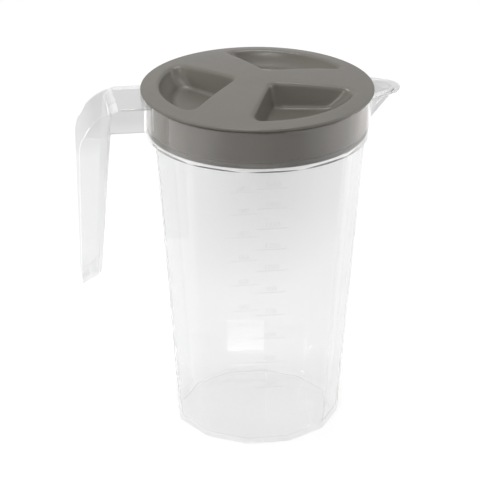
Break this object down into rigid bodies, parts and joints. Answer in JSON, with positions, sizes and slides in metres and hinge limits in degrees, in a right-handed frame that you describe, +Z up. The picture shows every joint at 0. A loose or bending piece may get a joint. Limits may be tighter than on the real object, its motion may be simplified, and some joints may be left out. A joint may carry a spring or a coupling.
{
  "type": "lidded pitcher",
  "caption": "Clear tapered pitcher with a faceted wall, round collar, beak spout and open hook handle, closed by a domed plug lid with finger pockets that turns and lifts off.",
  "frame": {"origin": "jug axis at the underside of the base", "axes": "+Z up along the jug axis, +X towards the spout, -X towards the handle"},
  "size_m": [0.1949, 0.14, 0.2217],
  "materials": {
    "clear_plastic": "clear glossy moulded plastic",
    "lid_plastic": "satin taupe moulded plastic",
    "seal": "soft matt taupe seal"
  },
  "bodies": {
    "jug": {"jug_floor": "clear_plastic", "jug_wall": "clear_plastic", "jug_collar": "clear_plastic", "jug_spout": "clear_plastic", "handle_arm": "clear_plastic", "handle_leg": "clear_plastic", "scale_front": "clear_plastic", "scale_back": "clear_plastic"},
    "lid_seal": {"seal_ring": "seal"},
    "lid": {"lid_skirt": "lid_plastic", "lid_cover": "lid_plastic", "finger_pocket_front": "lid_plastic", "finger_pocket_back": "lid_plastic", "finger_pocket_handle": "lid_plastic"}
  },
  "joints": [
    {"name": "lid_lift", "type": "slide", "parent": "jug", "child": "lid_seal", "axis": [0, 0, 1], "range_m": [0, 0.045]},
    {"name": "lid_turn", "type": "hinge", "parent": "lid_seal", "child": "lid", "pos_m": [0, 0, 0.2], "axis": [0, 0, 1], "continuous": true}
  ]
}
